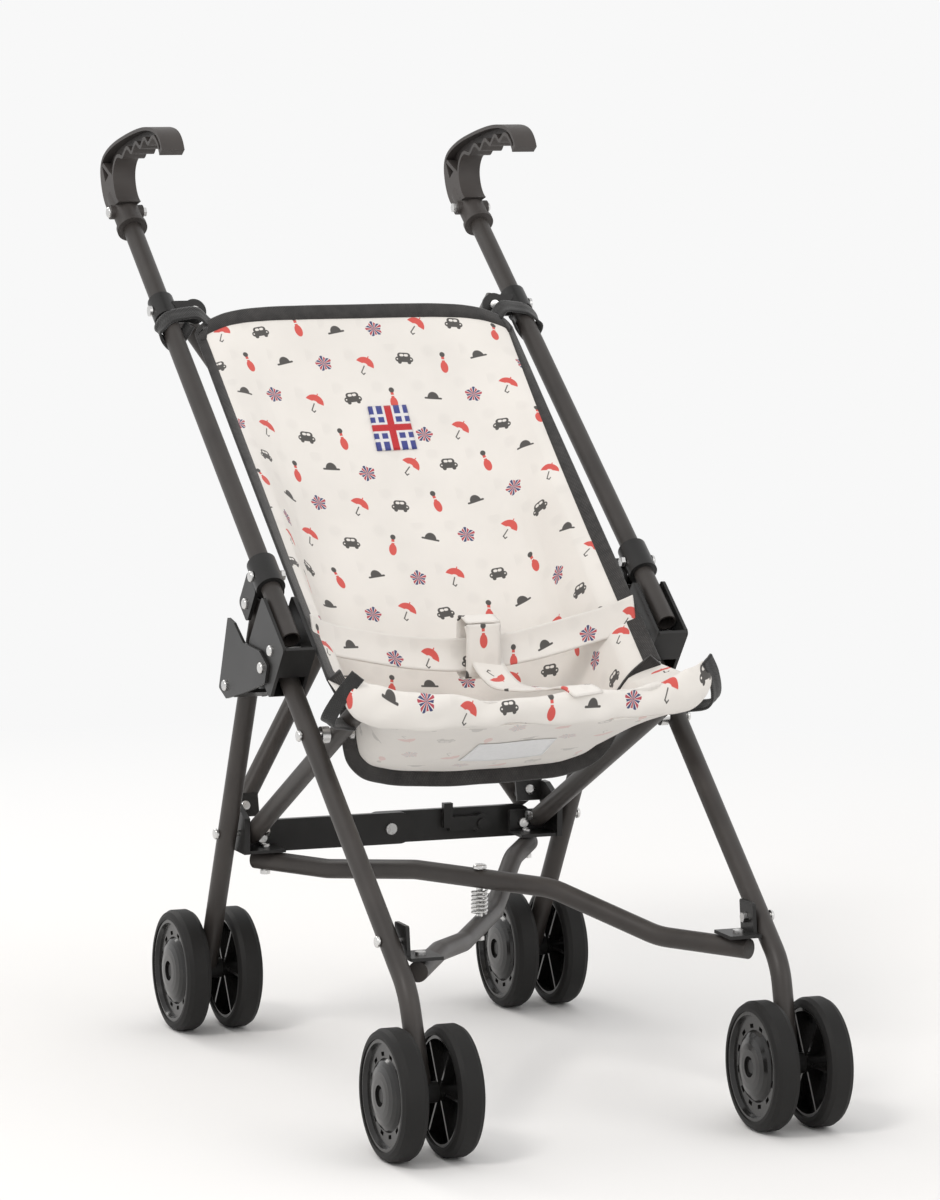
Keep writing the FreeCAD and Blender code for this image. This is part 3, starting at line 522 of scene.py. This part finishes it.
def settle(piece, side=0):
    """A piece across the seat goes with the left frame's body and gets its own copy of its mesh; one
    tied to a side stays with that side's body.
    """
    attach(piece, "frame_right" if side > 0 else "frame_left")
    if not side:
        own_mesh(piece)
    return piece


def ruffle(grid, amount, length, seed, pinned):
    """Small waves along the sheet's normal, fading out where pinned is 0."""
    rng = np.random.default_rng(seed)
    wave = np.zeros(grid.shape[:2])
    for _ in range(9):
        direction = rng.normal(size=3)
        direction /= np.linalg.norm(direction)
        stretch = length * rng.uniform(0.7, 1.6)
        wave += np.sin(grid @ direction * (2 * math.pi / stretch) + rng.uniform(0, 6.28)) / 3
    return grid + grid_normals(grid) * (wave * amount * pinned)[..., None]


SHEET_T = 0.6
# Edges of the sheets from the middle out to +X, in millimetres.
SEAM_HALF = [(0, 18, 177.5), (35, 17, 178.5), (60, 15, 181.5), (76, 13, 187), (85, 11, 196),
             (89, 8, 207), (91.5, 4, 221), (96.5, -4, 235), (107.5, -15, 250)]
HEAD_HALF = [(0, 232, 449.5), (35, 231.5, 449.5), (60, 231, 449), (78, 230, 447.5), (88, 229, 445.5),
             (95, 228, 443), (100.5, 227.5, 440.5), (104.5, 227, 437.5), (107, 225, 434)]
BAND_HALF = [(0, -71, 226), (30, -71, 226), (60, -71, 226.5), (80, -70.5, 227), (95, -70, 228.5),
             (104, -69, 231), (110, -68, 234.5), (114, -67, 239), (117, -66, 244)]
# The waist belt's middle line, sagging between the wing edges.
BELT = [(-105, 19, 274), (-96, 24, 269), (-70, 30, 262), (-35, 30, 256), (0, 28, 254),
        (35, 30, 257), (70, 32, 264), (96, 26, 272), (105, 20, 277)]
COLUMNS, ROWS = 161, 141
SEAM_TAPE = 8.5


def seam_line():
    """The lower edge of the seam's tape and the way inwards from it, in the seam's own plane."""
    edge = spline(both_sides(SEAM_HALF), COLUMNS)
    edge[:, 2] -= 1.0
    edge[:, 1] += 0.9 * np.sin(edge[:, 0] / 11.0) + 0.5 * np.sin(edge[:, 0] / 5.3 + 1.0)
    run = np.gradient(edge, axis=0)[:, [0, 2]]
    run /= np.linalg.norm(run, axis=1, keepdims=True)
    return edge, np.stack([-run[:, 1], 0 * run[:, 0], run[:, 0]], 1)


def seam_of_sheets():
    """Where the sling and the seat panel meet: the inner side of the seam's tape."""
    edge, inward = seam_line()
    s = np.linspace(-1, 1, COLUMNS)
    return edge + inward * (SEAM_TAPE * np.minimum((1 - np.abs(s)) * 8, 1))[:, None]


def sling_grid():
    """The back and its wings: a ruled sheet from the seam up to the head, with a slack belly."""
    low, high = seam_of_sheets(), spline(both_sides(HEAD_HALF), COLUMNS)
    v = np.linspace(0, 1, ROWS)[:, None, None]
    grid = (1 - v) * low + v * high
    s = np.linspace(-1, 1, COLUMNS)[None, :]
    up = v[..., 0]
    belly = np.sin(math.pi * up**0.8) * (1 - s**4)
    grid[..., 1] += 9.0 * belly
    grid[..., 2] -= 3.0 * belly
    pinned = np.minimum(np.sin(math.pi * np.clip(up, 0.01, 0.99)) * 1.6, 1)
    pinned = pinned * np.minimum((1 - np.abs(s)) * 6, 1)
    return ruffle(grid, 0.9, 95.0, 4, pinned)


def seat_grid():
    """The seat's underside: from the front band down to the seam."""
    low, high = seam_of_sheets(), spline(both_sides(BAND_HALF), COLUMNS)
    v = np.linspace(0, 1, 45)[:, None, None]
    grid = v * low + (1 - v) * high
    s = np.linspace(-1, 1, COLUMNS)[None, :]
    slack = np.sin(math.pi * v[..., 0]) * (1 - s**2)
    grid[..., 2] -= 3.0 * slack
    return ruffle(grid, 0.8, 60.0, 9, np.minimum(slack * 2, 1))


def binding(name, edge, inward, normal, material, width=9.5, thick=2.2):
    """Tape folded over a sheet's edge: a rounded, flat section swept along the edge."""
    normal = normal / np.linalg.norm(normal, axis=1, keepdims=True)
    half = thick / 2
    section = [(-0.9, 0.0), (-0.6, half * 0.75), (0.2, half), (width * 0.5, half * 0.92),
               (width - 0.3, half), (width, half * 0.6), (width, -half * 0.6), (width - 0.3, -half),
               (width * 0.5, -half * 0.92), (0.2, -half), (-0.6, -half * 0.75)]
    count, size = len(edge), len(section)
    points = np.concatenate([edge + inward * a + normal * b for a, b in section])
    points = points.reshape(size, count, 3)
    points = points.transpose(1, 0, 2).reshape(-1, 3) * MM
    run = np.concatenate([[0], np.cumsum(np.linalg.norm(np.diff(edge, axis=0), axis=1))]) * MM
    faces = [tuple(range(size - 1, -1, -1)), tuple((count - 1) * size + k for k in range(size))]
    for i in range(count - 1):
        for k in range(size):
            m = (k + 1) % size
            faces.append((i * size + k, i * size + m, (i + 1) * size + m, (i + 1) * size + k))
    mesh = bpy.data.meshes.new(name)
    mesh.from_pydata(points.tolist(), [], faces)
    layer = mesh.uv_layers.new(name="flat")
    around = np.array([k * 0.0018 for k in range(size)])
    for polygon in mesh.polygons:
        for loop in polygon.loop_indices:
            v = mesh.loops[loop].vertex_index
            layer.data[loop].uv = (run[v // size], around[v % size])
    mesh.materials.append(material)
    mesh.polygons.foreach_set("use_smooth", np.ones(len(faces), bool))
    piece = bpy.data.objects.new(name, mesh)
    bpy.context.scene.collection.objects.link(piece)
    tidy_normals(piece)
    return piece


def smoothed(vectors, passes):
    """Unit vectors averaged with their neighbours along a row."""
    for _ in range(passes):
        middle = (vectors[:-2] + 2 * vectors[1:-1] + vectors[2:]) / 4
        vectors = np.concatenate([vectors[:1], middle, vectors[-1:]])
    return vectors / np.linalg.norm(vectors, axis=1, keepdims=True)


def tidy_normals(piece):
    mesh = piece.data
    work = bmesh.new()
    work.from_mesh(mesh)
    bmesh.ops.recalc_face_normals(work, faces=work.faces)
    work.to_mesh(mesh)
    work.free()


def edge_frame(grid, row=None, column=None):
    """An edge of a grid with its inward and normal directions."""
    normal = grid_normals(grid)
    if row is not None:
        edge, inner, n = grid[row], grid[1 if row == 0 else row - 1], normal[row]
    else:
        edge, inner, n = grid[:, column], grid[:, 1 if column == 0 else column - 1], normal[:, column]
    inward = inner - edge
    inward /= np.linalg.norm(inward, axis=1, keepdims=True)
    return edge, inward, n


def strap(name, path, wide, thick, material, width_way, side=0):
    """A flat strap along a path in millimetres; width_way gives the direction across it."""
    path = np.array(path, float)
    centre = spline(path, max(24, 8 * len(path)))
    tangent = np.gradient(centre, axis=0)
    tangent /= np.linalg.norm(tangent, axis=1, keepdims=True)
    way = np.repeat(np.array([width_way], float), len(centre), 0)
    way -= tangent * (way * tangent).sum(1, keepdims=True)
    way /= np.linalg.norm(way, axis=1, keepdims=True)
    normal = np.cross(tangent, way)
    across = np.linspace(-wide / 2, wide / 2, 9)
    grid = centre[:, None, :] + way[:, None, :] * across[None, :, None]
    grid = grid + normal[:, None, :] * (0.12 * np.sin(across * 1.3))[None, :, None]
    return settle(cloth(name, grid, thick, material, material), side)


# --- pieces -----------------------------------------------------------------------------------
def build_cloth(mats):
    front, back, tape, web = mats["cotton"], mats["cotton_back"], mats["binding"], mats["webbing"]
    sling = sling_grid()
    sheet = settle(cloth("back_sling", sling, SHEET_T, front, back))
    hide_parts("seat_back", "side_wings")
    seat = seat_grid()
    under = settle(cloth("seat_under", seat, SHEET_T, front, back, uv_shift=(7, 400)))
    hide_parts("seat_base")

    sides = [edge_frame(sling, column=0), edge_frame(sling, row=-1), edge_frame(sling, column=-1)]
    sides[2] = [part[::-1] for part in sides[2]]
    edge, inward, normal = (np.concatenate([side[k][:-1] for side in sides]) for k in range(3))
    inward, normal = smoothed(inward, 4), smoothed(normal, 4)
    settle(binding("sling_binding", edge, inward, normal, tape))
    edge, inward = seam_line()
    normal = np.cross(np.gradient(edge, axis=0), inward)
    settle(binding("seam_tape", edge, inward, normal, tape))

    band = band_grid()
    piece = settle(cloth("front_band", band, 0.9, front, front, uv_shift=(3, 262)))

    belt = belt_grid()
    piece = settle(cloth("waist_belt", belt, 1.2, front, front, uv_shift=(12, 110)))
    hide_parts("straps")
    crotch = [(6, 27, 272), (7, 23, 262), (9, 22, 250), (12, 8, 240), (18, -25, 239),
              (25, -52, 243), (30, -68, 246), (33, -78, 243)]
    strap("crotch_strap", crotch, 21, 1.3, front, (1, 0.12, 0))
    keeper = [(6, 21.5, 274), (6, 35, 276), (6, 37, 262), (6, 35, 242), (6, 22, 241),
              (6, 21, 250), (6, 20.8, 262), (6, 21, 273)]
    strap("belt_keeper", keeper, 22, 1.2, front, (1, 0, 0))

    for side in (-1, 1):
        name = "left" if side < 0 else "right"
        loop = [(side * 111, -73, 260), (side * 118, -68, 249), (side * 123, -56, 231),
                (side * 109, -42, 227), (side * 101, -40, 226)]
        strap(f"corner_loop_{name}", loop, 9, 1.6, web, (-0.77 * side, -0.31, -0.56), side=side)
        tie = [(side * 97, 228, 441), (side * 104, 231, 447), (side * 113, 233, 446.5),
               (side * 121, 233, 444.8), (side * 128.6, 232, 436), (side * 121, 232, 427.0),
               (side * 112.6, 231, 434), (side * 109, 230, 440)]
        strap(f"head_loop_{name}", tie, 10, 1.4, web, (0, 0.8, 0.6), side=side)

    patch(sling, mats["patch"])
    label(seat, mats["label"])


def band_grid():
    """The front hem: a flattened sleeve over the ends of the seat tubes, with pointed tips."""
    low = spline(both_sides(BAND_HALF), COLUMNS)
    s = np.abs(np.linspace(-1, 1, COLUMNS))
    rise = np.interp(s, [0, 0.25, 0.6, 0.8, 0.9, 0.97, 1], [15, 16, 20, 24, 23.5, 15, 5])
    fat = np.interp(s, [0, 0.6, 0.8, 0.93, 1], [2.4, 2.6, 4.6, 4.2, 1.2])
    ring = []
    for a in np.linspace(-0.5, 1.5, 29) * math.pi:
        up, out = 0.5 + 0.5 * math.sin(a), -math.cos(a)
        ring.append(low + np.stack([0 * s, out * fat - 1.5 * up, up * rise], 1))
    grid = np.array(ring)
    pinned = np.repeat(np.minimum((1 - s) * 5, 1)[None, :], len(grid), 0)
    return ruffle(ruffle(grid, 1.1, 38.0, 3, pinned), 0.55, 17.0, 8, pinned)


def belt_grid():
    centre = spline(BELT, COLUMNS)
    s = np.linspace(-1, 1, COLUMNS)
    v = np.linspace(-0.5, 0.5, 15)[:, None]
    height = 19 * v
    grid = np.repeat(centre[None], 15, 0)
    grid[..., 2] += height
    grid[..., 1] += 0.35 * height + 2.2 * np.cos(v * math.pi) * (1 - s**2)
    pinned = np.repeat(np.minimum((1 - np.abs(s)) * 5, 1)[None, :], 15, 0)
    return ruffle(grid, 0.6, 50.0, 12, pinned)


def on_grid(grid, x_from, x_to, z_from, z_to, lift, count=17):
    """Points over part of a sheet, lifted off it along its normal."""
    middle_x = grid[grid.shape[0] // 2, :, 0]
    columns = np.interp(np.linspace(x_from, x_to, count), middle_x, np.arange(grid.shape[1]))
    middle = grid[:, grid.shape[1] // 2, 2]
    order = np.argsort(middle)
    numbers = np.arange(grid.shape[0])[order]
    rows = np.interp(np.linspace(z_from, z_to, count), middle[order], numbers)
    normal = grid_normals(grid)
    r0, c0 = np.floor(rows).astype(int), np.floor(columns).astype(int)
    fr, fc = (rows - r0)[:, None, None], (columns - c0)[None, :, None]

    def pick(g):
        low = (1 - fc) * g[r0][:, c0] + fc * g[r0][:, c0 + 1]
        high = (1 - fc) * g[r0 + 1][:, c0] + fc * g[r0 + 1][:, c0 + 1]
        return (1 - fr) * low + fr * high
    return pick(grid) + pick(normal) * lift


def patch(sling, face):
    grid = on_grid(sling, -6, 22, 363, 389, 0.85)
    half_height = flat_uv(grid)[-1, 0, 1] / MM / 2
    settle(cloth("patch", grid, 0.9, face, face, uv_shift=(0, -half_height)))


def label(seat, face):
    grid = on_grid(seat, -24, 28, 197, 212, -0.9)
    settle(cloth("label", grid, 0.4, face, face))


# --- finishes ---------------------------------------------------------------------------------
def finishes():
    m, t, s = new_material("label_satin", (0.8, 0.8, 0.8), 0.45, Sheen_Weight=0.2)
    uv = t.node("ShaderNodeTexCoord").outputs["UV"]
    t.link(t.bump(weave_height(t, uv, 0.0005), 0.3, 0.0002), s.inputs["Normal"])
    dull, bright = (0.74, 0.74, 0.74, 1), (0.84, 0.84, 0.84, 1)
    t.link(t.mix(t.noise(uv, 300.0), dull, bright), s.inputs["Base Color"])
    return {
        "cotton": printed_cotton("cotton_print", 1.0),
        "cotton_back": printed_cotton("cotton_reverse", 0.25),
        "binding": woven_tape("binding_tape", (0.022, 0.020, 0.019), 0.0011),
        "webbing": woven_tape("webbing_tape", (0.016, 0.0155, 0.015), 0.0016),
        "patch": plaid_patch("woven_patch"),
        "label": m,
        "tyre": moulded("tyre_rubber", (0.011, 0.0105, 0.010), 0.6, 1500.0, 0.0002, 0.1,
                        Specular_IOR_Level=0.25),
        "disc": moulded("wheel_plastic", (0.012, 0.0115, 0.011), 0.17, 500.0, 0.00004, 0.08,
                        Specular_IOR_Level=0.45),
        "paint": moulded("powder_coat", (0.040, 0.035, 0.032), 0.42, 1400.0, 0.00018, 0.1,
                         Specular_IOR_Level=0.35),
        "grip": moulded("grip_plastic", (0.05, 0.044, 0.041), 0.5, 2200.0, 0.00025, 0.1,
                        Specular_IOR_Level=0.3),
        "joint": moulded("joint_plastic", (0.017, 0.0165, 0.016), 0.36, 1200.0, 0.00015, 0.1,
                         Specular_IOR_Level=0.3),
        "zinc": zinc("zinc_plate"),
    }


SLOT_FINISH = {"tyre_rubber": "tyre", "wheel_plastic": "disc", "zinc_steel": "zinc",
               "frame_paint": "paint", "grip_plastic": "grip", "joint_plastic": "joint",
               "printed_cotton": "cotton", "webbing": "webbing"}


def finish_nodes(mats):
    """Every CAD node takes the finish of its slot."""
    slots = {p["node"]: p["material_slot"] for p in frame["record"]["subparts"]}
    for name, node in frame["nodes"].items():
        node.data.materials.clear()
        node.data.materials.append(mats[SLOT_FINISH[slots[name]]])


add_camera()
add_studio()
materials = finishes()
finish_nodes(materials)
build_cloth(materials)
